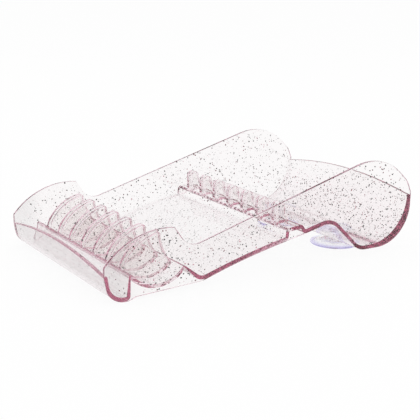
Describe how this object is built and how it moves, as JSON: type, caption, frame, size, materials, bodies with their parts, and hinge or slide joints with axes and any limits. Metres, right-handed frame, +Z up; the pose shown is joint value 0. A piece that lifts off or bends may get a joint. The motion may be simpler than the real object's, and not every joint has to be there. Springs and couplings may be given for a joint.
{
  "type": "scissors holder",
  "caption": "Open tray of clear glittered plastic with two rows of fins that keep pairs of scissors apart, on suction cups.",
  "frame": {"origin": "on the table, under the middle of the tray's bounding box", "axes": "+X across the tray to its right side, +Y from the low front lip to the tall back, +Z up"},
  "size_m": [0.12, 0.204, 0.0569],
  "materials": {
    "clear_plastic": "clear, faintly pink, with dark and pink glitter flecks inside",
    "fin_plastic": "clear pink with glitter flecks, the same moulding as the tray",
    "cup_plastic": "soft clear plastic with a violet tint, glossy"
  },
  "bodies": {
    "tray": {"tray_floor": "clear_plastic", "side_wall_left": "clear_plastic", "side_wall_right": "clear_plastic", "front_fin_1": "fin_plastic", "front_fin_2": "fin_plastic", "front_fin_3": "fin_plastic", "front_fin_4": "fin_plastic", "front_fin_5": "fin_plastic", "front_fin_6": "fin_plastic", "front_fin_7": "fin_plastic", "middle_fin_1": "fin_plastic", "middle_fin_2": "fin_plastic", "middle_fin_3": "fin_plastic", "middle_fin_4": "fin_plastic", "middle_fin_5": "fin_plastic", "middle_fin_6": "fin_plastic", "middle_fin_7": "fin_plastic"},
    "left_cup": {"suction_cup_left": "cup_plastic"},
    "right_cup": {"suction_cup_right": "cup_plastic"}
  },
  "joints": [
    {"name": "left_cup_turn", "type": "hinge", "parent": "tray", "child": "left_cup", "pos_m": [-0.028, 0.0716, 0], "axis": [0, 0, 1], "continuous": true},
    {"name": "right_cup_turn", "type": "hinge", "parent": "tray", "child": "right_cup", "pos_m": [0.028, 0.0716, 0], "axis": [0, 0, 1], "continuous": true}
  ]
}
